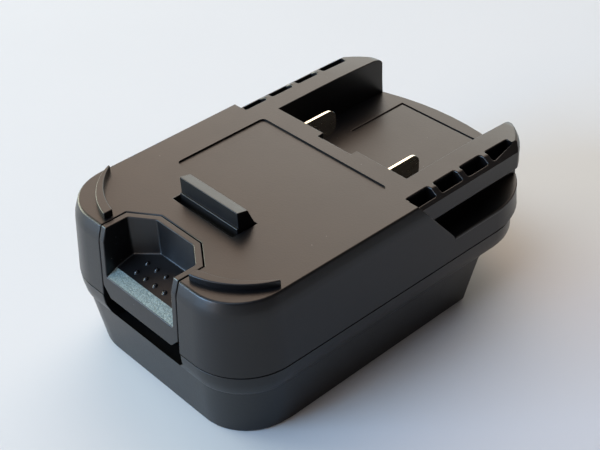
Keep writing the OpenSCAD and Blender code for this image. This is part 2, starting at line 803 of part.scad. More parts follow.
// What stands in the lower shell's hollows
module bottom_inside() {
    roof_t = 1.2;
    both_sides() {
        post(front_screw_x, front_screw_y, 0, part_h, boss_d + 1);
        post(rear_screw_x, rear_screw_y, socket_h, part_h, boss_d);
        post(spring_gap / 2, tooth_mid_y, socket_h, tray_h + spring_pin_l, spring_pin_d);
        for (y = board_screw_y) post(board_screw_x, y, socket_h, board_h, stand_d);
    }
    block(-catch_w / 2 - wall, catch_w / 2 + wall, catch_y - wall, catch_y + catch_l + wall, socket_h,
        socket_h + catch_depth + roof_t);
    block(-button_w / 2, button_w / 2, fence_y, fence_y + fence_t, socket_h, tray_h + fence_h);
}

module bottom_shell() color(shell_color) {
    difference() {
        bottom_skin();
        difference() {
            bottom_hollows();
            bottom_inside();
        }
        both_sides() {
            for (s = screw_seats) {
                post(s.x, s.y, -cut, far, screw_d + 2 * fit_gap);
                post(s.x, s.y, -cut, s.z, screw_head_d + 0.8);
            }
            for (y = board_screw_y)
                post(board_screw_x, y, board_top - small_screw_l - cut, far, small_screw_d + 2 * fit_gap);
        }
        block(-catch_w / 2, catch_w / 2, catch_y, catch_y + catch_l, 0, socket_h + catch_depth);
        block(-block_w / 2 - fit_gap, block_w / 2 + fit_gap, block_y - fit_gap, block_y + block_l + fit_gap,
            0, tray_h + cut);
    }
    both_sides() block(socket_w / 2 - hook_reach, socket_w / 2 + wall / 2, socket_y + hook_ledge_setback,
        skirt_end - cut, hook_ledge_h, hook_ledge_h + hook_ledge_t);
}

module release_button() color(latch_color) {
    difference() {
        intersection() {
            top_skin();
            slab(button_plan(cut), button_low, deck_h + cut);
        }
        intersection() {
            slab(inset(button_plan(far), rim_t), 0, deck_h + cut);
            across([[front_y - far, deck_h + cut], [button_back_y, deck_h + cut],
                [button_back_y, bucket_floor(button_back_y)], [sill_y, bucket_floor(sill_y)],
                [sill_y - 4 * sill_run, bucket_floor(sill_y) - 4 * sill_drop],
                [front_y - far, bucket_floor(sill_y) - 4 * sill_drop]], -half_w, half_w);
        }
        slab(inset(button_plan(-wall_lean), rim_t), 0, core_top);
        both_sides() {
            along([[button_w / 2 - button_chamfer, button_low],
                [button_w / 2 + cut, button_low + button_chamfer + cut],
                [button_w / 2 + cut, 0], [button_w / 2 - button_chamfer, 0]], -far, far);
            translate([latch_screw_x, button_back_y + cut, latch_screw_h]) rotate([90, 0, 0])
                cylinder(d = small_screw_d + 2 * fit_gap, h = small_screw_l + cut);
        }
    }
    for (j = [0, 1]) for (i = [0 : bump_count - 1]) {
        y = front_y + bump_setback + j * bump_row;
        translate([(i - (bump_count - 1) / 2) * bump_pitch, y, bucket_floor(y) - bump_h / 2])
            cylinder(d1 = bump_d * 1.4, d2 = bump_d / 5, h = bump_h * 1.5);
    }
}

module latch_hook() color(latch_color) difference() {
    union() {
        step_y0 = tooth_front_y - tooth_step;
        across([[step_y0, hook_under], [step_y0, deck_h + tooth_step_h],
            [tooth_front_y, deck_h + tooth_step_h], [tooth_front_y, deck_h + tooth_h],
            [tooth_front_y + tooth_top_l, deck_h + tooth_h - tooth_fall],
            [tooth_rear_y, deck_h + tooth_play], [tooth_rear_y, hook_under]], -tooth_w / 2, tooth_w / 2);
        block(-hook_w / 2, hook_w / 2, hook_y, hook_y + hook_l, hook_under, hook_top);
        block(-neck_w / 2, neck_w / 2, upright_y, hook_y + cut, hook_under, hook_top);
        block(-neck_w / 2, neck_w / 2, upright_y, upright_y + hook_t, hook_top - neck_h, hook_top);
        both_sides()
            post(spring_gap / 2, tooth_mid_y, hook_under - spring_pin_l, hook_top - cut, spring_pin_d);
    }
    both_sides() {
        post(guide_gap / 2, tooth_mid_y, 0, far, guide_d + 4 * tooth_play);
        translate([latch_screw_x, upright_y - cut, latch_screw_h]) rotate([-90, 0, 0])
            cylinder(d = small_screw_d + 2 * fit_gap, h = hook_t + 2 * cut);
    }
}

module latch_screws() color(steel_color) both_sides()
    translate([latch_screw_x, upright_y + hook_t, latch_screw_h]) rotate([90, 0, 0])
        screw(small_screw_d, small_screw_l, small_head_d, small_head_h);

// Compression spring between the plate over the socket and the hook
module latch_spring(x) {
    rings = 8 * spring_turns;
    r = (spring_d - spring_wire) / 2;
    z0 = tray_h + spring_wire / 2 + spring_play;
    rise = hook_under - tray_h - spring_wire - 2 * spring_play;
    turn = [for (i = [0 : rings]) [cos(45 * i), sin(45 * i), 0]];
    path = [for (i = [0 : rings]) [x, tooth_mid_y, z0 + rise * i / rings] + r * turn[i]];
    color(steel_color) tube(path, turn, spring_wire, 6);
    gaps = [for (i = [0 : rings - 8]) norm(path[i + 8] - path[i]) - spring_wire];
    echo(least_gap_between_turns = min(gaps));
}
module latch_spring_left() latch_spring(-spring_gap / 2);
module latch_spring_right() latch_spring(spring_gap / 2);

module contact_carrier() color(insulator_color) difference() {
    union() {
        block(-carrier_w / 2, carrier_w / 2, carrier_y, recess_y - wall - fit_gap, carrier_h,
            deck_under - fit_gap);
        block(-carrier_w / 2, carrier_w / 2, carrier_y + cut, nose_y, nose_h, deck_under - fit_gap);
        block(-carrier_w / 2 - ear_w, carrier_w / 2 + ear_w, ear_y - ear_w / 2, ear_y + ear_w / 2,
            carrier_h, ear_top);
    }
    both_sides() {
        block(blade_x - blade_t / 2 - fit_gap, blade_x + blade_t / 2 + fit_gap, carrier_y - cut, far,
            blade_top - blade_h - fit_gap, blade_top + fit_gap);
        post(ear_x, ear_y, 0, far, small_screw_d + 2 * fit_gap);
    }
}

// Flat blade with a rounded free end and a narrower tab inside
module contact_blade(x) {
    y1 = recess_y + blade_reach;
    low = blade_top - blade_h;
    across(concat([[carrier_y - tab_l, blade_mid - tab_h / 2], [carrier_y, blade_mid - tab_h / 2],
        [carrier_y, low]], arc([y1 - blade_r, low + blade_r], blade_r, -90, 0, 8),
        arc([y1 - blade_r, blade_top - blade_r], blade_r, 0, 90, 8),
        [[carrier_y, blade_top], [carrier_y, blade_mid + tab_h / 2],
            [carrier_y - tab_l, blade_mid + tab_h / 2]]),
        x - blade_t / 2, x + blade_t / 2);
}
module contact_blade_positive() color(plated_color) contact_blade(blade_x);
module contact_blade_negative() color(plated_color) contact_blade(-blade_x);

module carrier_screws() color(steel_color) both_sides() translate([ear_x, ear_y, carrier_h])
    screw(small_screw_d, small_screw_l, small_head_d, small_head_h);

// Outline of a socket blade: a tail that stands up to the board and a blade that points to the rear
function socket_blade(reach, grow) = let (y0 = tail_y - grow, y1 = block_y + block_l + reach,
        z0 = socket_blade_low - grow, z1 = socket_blade_low + socket_blade_h + grow, t = tail_w + 2 * grow)
    [[y0, z0], [y1, z0], [y1, z1], [y0 + t, z1], [y0 + t, tail_top + grow], [y0, tail_top + grow]];

module socket_plate(x, reach, grow) {
    across(socket_blade(reach, grow), x - blade_t / 2 - grow, x + blade_t / 2 + grow);
}

module socket_block() color(insulator_color) difference() {
    union() {
        block(-block_w / 2, block_w / 2, block_y, block_y + block_l, block_h, tray_h + cut);
        block(-block_w / 2 - block_rim, block_w / 2 + block_rim, block_y - block_rim,
            block_y + block_l + block_rim, tray_h, tray_h + block_rim_t);
    }
    for (x = [-1, 0, 1]) socket_plate(x * socket_blade_gap / 2, far, fit_gap);
}
module socket_blade_positive() color(brass_color) socket_plate(socket_blade_gap / 2, socket_blade_reach, 0);
module socket_blade_negative() color(brass_color) socket_plate(-socket_blade_gap / 2, socket_blade_reach, 0);
module socket_blade_signal() color(brass_color) socket_plate(0, socket_blade_reach - signal_short, 0);

module circuit_board() color(board_color) difference() {
    block(-board_w / 2, board_w / 2, board_y, board_y + board_l, board_h, board_top);
    for (x = [-1, 0, 1]) socket_plate(x * socket_blade_gap / 2, 0, fit_gap);
    both_sides() for (y = board_screw_y) post(board_screw_x, y, 0, far, small_screw_d + 2 * fit_gap);
}

// Two flat power packages, each a moulded body on a metal tab
module power_transistors() color(chip_color) both_sides() {
    x = socket_blade_gap / 4;
    y1 = board_y + board_l - board_margin;
    block(x - transistor_w / 2, x + transistor_w / 2, y1 - transistor_l, y1, board_top,
        board_top + transistor_h);
    block(x - transistor_tab_w / 2, x + transistor_tab_w / 2, y1 - transistor_l / 2, y1 + transistor_tab_l,
        board_top, board_top + transistor_tab_t);
}

module control_chip() color(chip_color) {
    y0 = board_y + board_margin;
    y1 = y0 + chip_l;
    block(-chip_w / 2, chip_w / 2, y0, y1, board_top, board_top + chip_h);
    for (i = [-1.5 : 1 : 1.5]) {
        x = i * chip_w / 4;
        block(x - chip_leg_w / 2, x + chip_leg_w / 2, y0 - chip_leg_l, y1 + chip_leg_l, board_top,
            board_top + chip_leg_t);
    }
}

module board_screws() color(steel_color) both_sides() for (y = board_screw_y)
    translate([board_screw_x, y, board_top]) mirror([0, 0, 1])
        screw(small_screw_d, small_screw_l, small_head_d, small_head_h);

module lead(x) {
    path = [for (p = lead_route) [x, p.x, p.y]];
    tube(path, [for (p = path) [1, 0, 0]], lead_d, 8);
}
module lead_positive() color(red_color) lead(blade_x);
module lead_negative() color(black_color) lead(-blade_x);

// Push-on terminals: a sleeve over the blade's tab and a barrel round the lead
module lead_crimps() color(plated_color) both_sides() {
    x = blade_x;
    y1 = carrier_y - 2 * fit_gap;
    y0 = carrier_y - tab_l - crimp_t;
    tab_x = blade_t / 2 + fit_gap;
    tab_z = tab_h / 2 + fit_gap;
    difference() {
        union() {
            block(x - tab_x - crimp_t, x + tab_x + crimp_t, y0, y1, blade_mid - tab_z - crimp_t,
                blade_mid + tab_z + crimp_t);
            translate([x, y0 + crimp_t / 2, blade_mid]) rotate([90, 0, 0])
                cylinder(d = lead_d + 2 * fit_gap + 2 * crimp_t, h = barrel_l);
        }
        block(x - tab_x, x + tab_x, y0 + crimp_t - fit_gap, far, blade_mid - tab_z, blade_mid + tab_z);
        translate([x, y0 - fit_gap, blade_mid]) rotate([90, 0, 0])
            cylinder(d = lead_d + 2 * fit_gap, h = barrel_l + cut);
    }
}

module housing_screws() color(steel_color) both_sides() for (s = screw_seats)
    translate(s) screw(screw_d, screw_l, screw_head_d, screw_head_h);

top_shell();
bottom_shell();
release_button();
latch_hook();
latch_screws();
latch_spring_left();
latch_spring_right();
contact_carrier();
contact_blade_positive();
contact_blade_negative();
carrier_screws();
socket_block();
socket_blade_positive();
socket_blade_negative();
socket_blade_signal();
circuit_board();
power_transistors();
control_chip();
board_screws();
lead_positive();
lead_negative();
lead_crimps();
housing_screws();
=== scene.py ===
"""Slide-on battery adapter for a cordless tool: finishes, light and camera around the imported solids.

Lengths are in metres. X is across, +Y is the way the adapter slides into the tool, +Z is up.
"""
from math import cos, pi, radians, sin, sqrt

import bmesh
import bpy
from mathutils import Matrix, Vector
from mathutils.bvhtree import BVHTree


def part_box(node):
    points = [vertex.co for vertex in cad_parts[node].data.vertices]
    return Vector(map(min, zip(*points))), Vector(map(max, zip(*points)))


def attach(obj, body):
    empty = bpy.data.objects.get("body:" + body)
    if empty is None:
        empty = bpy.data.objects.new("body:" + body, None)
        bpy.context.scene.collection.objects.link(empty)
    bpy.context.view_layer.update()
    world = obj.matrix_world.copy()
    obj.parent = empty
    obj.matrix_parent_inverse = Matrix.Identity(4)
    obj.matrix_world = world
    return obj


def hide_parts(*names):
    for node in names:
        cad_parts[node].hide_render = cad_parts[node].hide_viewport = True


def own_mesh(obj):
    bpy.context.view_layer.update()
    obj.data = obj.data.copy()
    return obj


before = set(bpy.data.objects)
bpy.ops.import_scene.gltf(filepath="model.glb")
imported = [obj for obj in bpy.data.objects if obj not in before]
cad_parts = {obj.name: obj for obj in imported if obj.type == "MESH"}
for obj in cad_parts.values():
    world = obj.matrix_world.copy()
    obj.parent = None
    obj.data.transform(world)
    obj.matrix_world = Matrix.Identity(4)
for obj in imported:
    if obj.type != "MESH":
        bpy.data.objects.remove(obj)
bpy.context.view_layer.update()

scene = bpy.context.scene
MM = 0.001

# Places on the part, in the frame of the solids
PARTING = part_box("top_shell")[0].z
SLIT_TOP = PARTING + 0.3 * MM
CREASE = 16.6 * MM
DECK = 45.5 * MM
EDGE_BAND = 3.8 * MM
STEP = Vector((0, 5.2 * MM, DECK))
PANEL_HALF, PANEL_FRONT, PANEL_REAR = 25.3 * MM, -26 * MM, 6.3 * MM
RAIL_INNER = 26.5 * MM
RAIL_OUTER = 36.9 * MM
RAIL_BEVEL = 2.2 * MM
BUCKET_LOW = 30 * MM
SILL_REAR = -56.2 * MM
BUMP_PITCH = 4 * MM
BUMP_ROWS = (-54 * MM, -50.3 * MM)
BUMPS = [Vector((column * BUMP_PITCH, row, DECK)) for row in BUMP_ROWS for column in range(-2, 3)]


def placed(name, data):
    """A new object in the scene."""
    made = bpy.data.objects.new(name, data)
    scene.collection.objects.link(made)
    return made


# Camera
VIEW_AZIMUTH = radians(49.267)


def photo_camera():
    """Camera at the photograph's place, solved from the part's straight edges and its symmetry."""
    azimuth, elevation, roll = VIEW_AZIMUTH, radians(36.771), radians(-2.946)
    step_in_view = Vector((5.671, 20.102, -352.2)) * MM
    focal_px, frame_px, sensor_mm = 1271.66, 600, 36
    back = Vector((sin(azimuth) * cos(elevation), -cos(azimuth) * cos(elevation), sin(elevation)))
    right = Vector((cos(azimuth), sin(azimuth), 0))
    up = back.cross(right)
    rolled_right = cos(roll) * right + sin(roll) * up
    rolled_up = cos(roll) * up - sin(roll) * right
    turn = Matrix((rolled_right, rolled_up, back)).transposed()
    data = bpy.data.cameras.new("photo_camera")
    data.sensor_width = sensor_mm
    data.lens = focal_px / frame_px * sensor_mm
    data.clip_start = 10 * MM
    camera = placed("photo_camera", data)
    camera.matrix_world = Matrix.Translation(STEP - turn @ step_in_view) @ turn.to_4x4()
    scene.camera = camera


# Shader maths
class Wire:
    """One shader socket. Arithmetic on wires adds Math nodes."""

    def __init__(self, nodes, socket):
        self.nodes = nodes
        self.socket = socket

    def maths(self, operation, *values):
        return self.nodes.node("ShaderNodeMath", {"operation": operation}, dict(enumerate(values)))

    def __add__(self, other):
        return self.maths("ADD", self, other)

    def __sub__(self, other):
        return self.maths("SUBTRACT", self, other)

    def __rsub__(self, other):
        return self.maths("SUBTRACT", other, self)

    def __mul__(self, other):
        return self.maths("MULTIPLY", self, other)

    def __lt__(self, other):
        return self.maths("LESS_THAN", self, other)

    def __gt__(self, other):
        return self.maths("GREATER_THAN", self, other)

    __radd__ = __add__
    __rmul__ = __mul__


class Nodes:
    """The node tree of one material or world."""

    def __init__(self, owner):
        owner.use_nodes = True
        self.tree = owner.node_tree
        self.tree.nodes.clear()

    def node(self, kind, settings=None, sockets=None, output=0):
        """Adds a node: its settings first, then the values or wires of its sockets."""
        made = self.tree.nodes.new(kind)
        for name, value in (settings or {}).items():
            setattr(made, name, value)
        for name, value in (sockets or {}).items():
            socket = made.inputs[name]
            if isinstance(value, Wire):
                self.tree.links.new(value.socket, socket)
            elif socket.type == "RGBA" and len(value) == 3:
                socket.default_value = (*value, 1)
            else:
                socket.default_value = value
        return Wire(self, made.outputs[output]) if made.outputs else None

    def place(self):
        """Point on the piece, in metres."""
        return self.node("ShaderNodeTexCoord", output="Object")

    def noise(self, size, detail=2.0, roughness=0.5, place=None):
        """Smooth noise from 0 to 1 with lumps of about this size, which is half the noise's period."""
        return self.node("ShaderNodeTexNoise", {}, {
            "Vector": place or self.place(), "Scale": 0.5 / size, "Detail": detail, "Roughness": roughness})

    def ramp(self, value, low, high):
        """Smooth step from 0 to 1 as a value goes from one limit to the other."""
        return self.node("ShaderNodeMapRange", {"interpolation_type": "SMOOTHSTEP"}, {
            "Value": value, "From Min": low, "From Max": high})

    def mix(self, share, first, second):
        """Blend of two colours."""
        return self.node("ShaderNodeMix", {"data_type": "RGBA"}, {0: share, 6: first, 7: second}, output=2)

    def bump(self, height, depth):
        """Surface relief from a height between 0 and 1 over this depth."""
        return self.node("ShaderNodeBump", {}, {"Height": height, "Distance": depth})

    def towards(self, direction, axis):
        """How far a direction points along an axis: 1 straight along it, 0 across it."""
        return self.node(
            "ShaderNodeVectorMath", {"operation": "DOT_PRODUCT"}, {0: direction, 1: axis}, "Value")


def finish(name, **constants):
    """A new material with its shader, and the nodes to feed it."""
    material = bpy.data.materials.new(name)
    nodes = Nodes(material)

    def surface(**wires):
        values = {k.replace("_", " "): v for k, v in {**constants, **wires}.items()}
        shader = nodes.node("ShaderNodeBsdfPrincipled", {}, values)
        nodes.node("ShaderNodeOutputMaterial", {}, {"Surface": shader})
        return material

    return nodes, surface


# Finishes
BLACK_PLASTIC = (0.003, 0.003, 0.0035), (0.005, 0.005, 0.0055)
DUST_GREY = (0.3, 0.3, 0.3)


def dust(nodes, cell=2.4 * MM, share=0.12, radius=0.05):
    """Mask of small specks that lie on a few places of the surface."""
    sockets = {"Vector": nodes.place(), "Scale": 1 / cell}
    distance = nodes.node("ShaderNodeTexVoronoi", {}, sockets, "Distance")
    colour = nodes.node("ShaderNodeTexVoronoi", {}, sockets, "Color")
    chance = nodes.node("ShaderNodeSeparateColor", {}, {"Color": colour})
    return (distance < radius) * (chance < share)


def moulded_plastic(name, dark, light, gloss, grain=0.32 * MM, depth=0.016 * MM):
    """Dark moulded plastic with a fine spark-eroded texture, uneven gloss and a little dust."""
    nodes, surface = finish(name, IOR=1.44)
    cloud = nodes.noise(14 * MM, detail=3)
    patch = nodes.noise(3 * MM, detail=4, roughness=0.6)
    texture = nodes.noise(grain, detail=2, roughness=0.65)
    speck = dust(nodes)
    colour = nodes.mix(cloud, dark, light)
    colour = nodes.mix(speck * 0.5, colour, DUST_GREY)
    rough = gloss + 0.1 * (cloud - 0.5) + 0.08 * (patch - 0.5) + 0.1 * (texture - 0.5) + 0.2 * speck
    return surface(Base_Color=colour, Roughness=rough, Normal=nodes.bump(texture, depth))


def grip_texture_with_painted_sheen(name, dark, light, grain=0.26 * MM, depth=0.05 * MM):
    """The coarse grain of the button's sill, whose pale colour is partly its own and partly a painted sheen
    of low light grazing the grain.
    """
    nodes, surface = finish(name, IOR=1.5)
    grains = nodes.ramp(nodes.noise(grain, detail=2, roughness=0.6), 0.3, 0.7)
    fine = nodes.noise(0.15 * MM, detail=1)
    # The pale grain colours are partly painted sheen: the brightness that low light gives the grain is put
    # into the base colour.
    colour = nodes.mix(grains, dark, light)
    rough = 0.42 + 0.2 * (fine - 0.5)
    return surface(Base_Color=colour, Roughness=rough, Normal=nodes.bump(grains, depth))


def plated_metal(name, bright, dull, gloss=0.24, depth=0.004 * MM):
    """Stamped and plated contact metal: rolled streaks, faint stains and a soft lustre."""
    nodes, surface = finish(name, Metallic=1.0)
    along_blade = (1, 0.06, 1)
    stretched = nodes.node("ShaderNodeMapping", {}, {"Vector": nodes.place(), "Scale": along_blade})
    streak = nodes.noise(0.18 * MM, detail=3, place=stretched)
    stain = nodes.noise(2.5 * MM, detail=4, roughness=0.6)
    colour = nodes.mix(nodes.ramp(stain, 0.45, 0.75), bright, dull)
    rough = gloss + 0.16 * (streak - 0.5) + 0.12 * (stain - 0.5)
    return surface(Base_Color=colour, Roughness=rough, Normal=nodes.bump(streak, depth))


def steel_wire(name, dull, bright, depth=0.003 * MM):
    """Zinc plated steel of the screws and springs."""
    nodes, surface = finish(name, Metallic=1.0)
    stain = nodes.noise(0.8 * MM, detail=4, roughness=0.6)
    scratch = nodes.noise(0.08 * MM, detail=2)
    colour = nodes.mix(stain, dull, bright)
    rough = 0.3 + 0.2 * (stain - 0.5)
    return surface(Base_Color=colour, Roughness=rough, Normal=nodes.bump(scratch, depth))


def board_laminate(name, track, bare, pattern_scale=160.0, depth=0.03 * MM):
    """Lacquered board with faint tracks under the lacquer."""
    nodes, surface = finish(name, IOR=1.5, Coat_Weight=0.4)
    white, black = (1, 1, 1), (0, 0, 0)
    pattern = nodes.node("ShaderNodeTexBrick", {"offset": 0.37}, {
        "Vector": nodes.place(), "Scale": pattern_scale,
        "Color1": white, "Color2": white, "Mortar": black, "Mortar Size": 0.08})
    fields = nodes.node("ShaderNodeSeparateColor", {}, {"Color": pattern})
    weave = nodes.noise(0.3 * MM, detail=2)
    colour = nodes.mix(fields, track, bare)
    rough = 0.32 + 0.1 * (weave - 0.5)
    return surface(Base_Color=colour, Roughness=rough, Normal=nodes.bump(fields, depth))


def soft_insulation(name, dark, light, depth=0.006 * MM):
    """Flexible lead insulation with a dull, slightly wavy skin."""
    nodes, surface = finish(name, IOR=1.47)
    wave = nodes.noise(1.2 * MM, detail=3)
    skin = nodes.noise(0.12 * MM, detail=2)
    colour = nodes.mix(wave, dark, light)
    rough = 0.5 + 0.15 * (wave - 0.5)
    return surface(Base_Color=colour, Roughness=rough, Normal=nodes.bump(skin, depth))


SHELL = moulded_plastic("black_shell_plastic", *BLACK_PLASTIC, gloss=0.34)
LATCH = moulded_plastic("black_latch_plastic", *BLACK_PLASTIC, gloss=0.35)
POLISHED = moulded_plastic("polished_grip_plastic", *BLACK_PLASTIC, gloss=0.2)
INSULATOR = moulded_plastic("dark_insulator_plastic", (0.02, 0.02, 0.022), (0.03, 0.03, 0.032), gloss=0.45)
PACKAGE = moulded_plastic("moulded_package", (0.012, 0.012, 0.012), (0.02, 0.02, 0.02), gloss=0.55)
# The sill's colours are lifted well above the black plastic to paint the sheen of low light on its grain.
SILL = grip_texture_with_painted_sheen("grained_sill_with_painted_sheen", (0.095, 0.125, 0.118), (0.19, 0.235, 0.22))
PLATED = plated_metal("nickel_plated_contact", (0.86, 0.8, 0.66), (0.66, 0.58, 0.42))
BRASS = plated_metal("stamped_brass", (0.8, 0.6, 0.28), (0.6, 0.42, 0.18))
STEEL = steel_wire("zinc_plated_steel", (0.5, 0.51, 0.53), (0.68, 0.68, 0.66))
BOARD = board_laminate("green_board_laminate", (0.02, 0.12, 0.055), (0.012, 0.075, 0.035))
RED_LEAD = soft_insulation("red_lead_insulation", (0.4, 0.015, 0.01), (0.5, 0.025, 0.02))
BLACK_LEAD = soft_insulation("black_lead_insulation", (0.012, 0.012, 0.012), (0.022, 0.022, 0.022))


# Moulded pieces: copies of the solids with the rounded edges that a mould leaves
def sphere_directions(count):
    """Evenly spread directions."""
    golden = pi * (3 - sqrt(5))
    heights = [1 - 2 * (i + 0.5) / count for i in range(count)]
    return [Vector((cos(golden * i) * sqrt(1 - z * z), sin(golden * i) * sqrt(1 - z * z), z))
            for i, z in enumerate(heights)]


def solid_tree():
    """Ray tree of every solid at rest."""
    verts, faces = [], []
    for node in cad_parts.values():
        start = len(verts)
        verts += [v.co.copy() for v in node.data.vertices]
        faces += [[start + i for i in p.vertices] for p in node.data.polygons]
    return BVHTree.FromPolygons(verts, faces)


SOLIDS = solid_tree()
# Rays that look out from an edge: where they start above it, and how flat they may run along it
DIRECTIONS = sphere_directions(count=90)
RAY_LIFT = 0.06 * MM
GRAZING = 0.15
# How far a place may be off and still count as the same
PLAY = 0.02 * MM


def shows(edge):
    """Whether light from outside reaches an edge."""
    normal = sum((f.normal for f in edge.link_faces), Vector()).normalized()
    middle = (edge.verts[0].co + edge.verts[1].co) / 2
    start = middle + RAY_LIFT * normal
    return any(d.dot(normal) > GRAZING and SOLIDS.ray_cast(start, d)[0] is None for d in DIRECTIONS)


def level(edge, height):
    """Whether an edge lies at a height."""
    return all(abs(v.co.z - height) < PLAY for v in edge.verts)


def beside(edge, distance):
    """Whether an edge lies at a distance from the middle plane."""
    return all(abs(abs(v.co.x) - distance) < PLAY for v in edge.verts)


def on_panel(edge):
    """Whether an edge bounds the shallow panel in the deck."""
    across = all(abs(v.co.x) < PANEL_HALF for v in edge.verts)
    return level(edge, DECK) and across and all(PANEL_FRONT < v.co.y < PANEL_REAR for v in edge.verts)


def on_rail(edge):
    """Whether an edge belongs to a rail or to one of its windows."""
    return all(v.co.y > STEP.y and abs(v.co.x) > RAIL_INNER for v in edge.verts)


# Widest rounding, and how finely a solid's mesh is cleaned before it is rounded
WIDEST = 3 * MM
WELD = 0.002 * MM
FLAT = radians(0.3)
# Where a rounding folds over, short edges near the fold are left sharp
FOLD_ATTEMPTS = 2
FOLD_REACH = 0.5 * MM
FOLD_TURN = -0.2
SHORT_EDGE = 5 * MM
TINY_AREA = 1e-4 * MM * MM
# Angles up to which faces, and the rounded strips beside them, shade as one
FACE_SMOOTH = radians(23)
BUTTON_SMOOTH = radians(8)
STRIP_SMOOTH = radians(50)


def bevelled(shape, segments, finishes):
    """Mesh of a shape with its weighted edges rounded, and which of its faces are rounded strips."""
    sharp = bpy.data.meshes.new("sharp")
    shape.to_mesh(sharp)
    for material in (*finishes, None):
        sharp.materials.append(material)
    piece = placed("sharp", sharp)
    rounding = piece.modifiers.new("rounded_edges", "BEVEL")
    rounding.width = WIDEST
    rounding.limit_method = "WEIGHT"
    rounding.segments = segments
    rounding.use_clamp_overlap = False
    rounding.miter_outer = "MITER_ARC"
    rounding.material = len(finishes)
    mesh = bpy.data.meshes.new_from_object(piece.evaluated_get(bpy.context.evaluated_depsgraph_get()))
    bpy.data.objects.remove(piece)
    bpy.data.meshes.remove(sharp)
    strips = [face.material_index == len(finishes) for face in mesh.polygons]
    mesh.materials.pop()
    for face, strip in zip(mesh.polygons, strips):
        face.material_index = 0 if strip else face.material_index
    return mesh, strips


def folds(mesh, solid):
    """Corners of the triangles that a rounding has turned over."""
    mesh.calc_loop_triangles()
    places = []
    for triangle in mesh.loop_triangles:
        if triangle.area > TINY_AREA:
            if triangle.normal.dot(solid.find_nearest(triangle.center)[1]) < FOLD_TURN:
                places += [mesh.vertices[v].co.copy() for v in triangle.vertices]
    return places


def rounded_mesh(node, width_of, segments, finishes, reshape):
    """Copy of a solid's mesh with its sharp edges rounded, and which of its faces are rounded strips."""
    shape = bmesh.new()
    shape.from_mesh(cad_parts[node].data)
    bmesh.ops.remove_doubles(shape, verts=shape.verts, dist=WELD)
    bmesh.ops.dissolve_degenerate(shape, dist=WELD, edges=shape.edges)
    bmesh.ops.dissolve_limit(shape, angle_limit=FLAT, verts=shape.verts, edges=shape.edges)
    reshape(shape)
    shape.normal_update()
    solid = BVHTree.FromBMesh(shape)
    weight = shape.edges.layers.float.new("bevel_weight_edge")
    for edge in shape.edges:
        width = width_of(edge, edge.calc_face_angle_signed(0)) if len(edge.link_faces) == 2 else 0
        if width and shows(edge):
            edge[weight] = width / WIDEST
    for _ in range(FOLD_ATTEMPTS):
        mesh, strips = bevelled(shape, segments, finishes)
        places = folds(mesh, solid)
        for edge in shape.edges:
            if edge[weight] and edge.calc_length() < SHORT_EDGE:
                if any((v.co - p).length < FOLD_REACH for v in edge.verts for p in places):
                    edge[weight] = 0
    shape.free()
    return mesh, strips


def settle_normals(mesh, strips, smooth):
    """Corner normals that keep flat faces flat and run rounded strips smoothly into their neighbours."""
    faces = [(f.normal.copy(), f.area) for f in mesh.polygons]
    around = [[] for _ in mesh.vertices]
    for face in mesh.polygons:
        for vertex in face.vertices:
            around[vertex].append(face.index)
    normals = []
    for face in mesh.polygons:
        normal = faces[face.index][0]
        for vertex in face.vertices:
            total = Vector()
            for other in around[vertex]:
                limit = STRIP_SMOOTH if strips[face.index] or strips[other] else smooth
                if normal.dot(faces[other][0]) > cos(limit):
                    total += faces[other][0] * faces[other][1]
            normals.append(total.normalized() if total.length else normal)
    mesh.shade_smooth()
    mesh.normals_split_custom_set(normals)


def as_built(shape):
    """Leaves a shape as it is."""


def part_shells(shape):
    """Lifts the upper shell's lower rim, which leaves the thin dark slit between the shells."""
    for vertex in shape.verts:
        if abs(vertex.co.z - PARTING) < PLAY:
            vertex.co.z = SLIT_TOP


def tuck_rear(shape):
    """Sets the lower shell's rear rim back under the upper shell's."""
    set_back, start, run = 2.4 * MM, 39 * MM, 12 * MM
    margin, least_outward = 0.1 * MM, 0.1
    shape.normal_update()
    moves = []
    for vertex in shape.verts:
        height, along = vertex.co.z - CREASE, vertex.co.y - start
        outward = Vector((vertex.normal.x, vertex.normal.y, 0))
        on_rim = height >= margin and vertex.co.z <= PARTING + margin and along >= 0
        if not on_rim or outward.length < least_outward:
            continue
        outward.normalize()
        if SOLIDS.ray_cast(vertex.co + margin / 2 * outward, outward)[0] is None:
            share = min(along / run, 1) * sqrt(min(height / (PARTING - CREASE), 1))
            moves.append((vertex, -set_back * share * outward))
    for vertex, move in moves:
        vertex.co += move


def moulded(name, node, body, finishes, width_of, segments=3, smooth=FACE_SMOOTH, reshape=as_built):
    """A rounded copy of a solid. width_of gives each edge's rounding, or nothing to leave it sharp."""
    mesh, strips = rounded_mesh(node, width_of, segments, finishes, reshape)
    settle_normals(mesh, strips, smooth)
    piece = placed(name, mesh)
    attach(piece, body)
    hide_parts(node)
    return piece


# Angles between an edge's faces that tell the edges apart
SLIGHT, SHARP, SQUARE = radians(8), radians(25), radians(40)
BAND_LEAST, BAND_MOST = radians(50), radians(80)
# Roundings of the edges
SLIT_ROUND = 0.1 * MM
DECK_ROUND = 0.55 * MM
BAND_ROUND = 1.4 * MM
RAIL_ROUND = 0.42 * MM
UPPER_ROUND = 0.3 * MM
RIM_ROUND = 0.12 * MM
FOOT_ROUND = 0.6 * MM
LOWER_ROUND = 0.28 * MM
BUCKET_ROUND = 0.45 * MM
BUTTON_ROUND = 0.28 * MM
HOOK_ROUND = 0.25 * MM
BLADE_ROUND = 0.12 * MM
# Shorter edges of the button and the hook stay sharp
BUTTON_SHORTEST = 0.9 * MM
HOOK_SHORTEST = 0.3 * MM


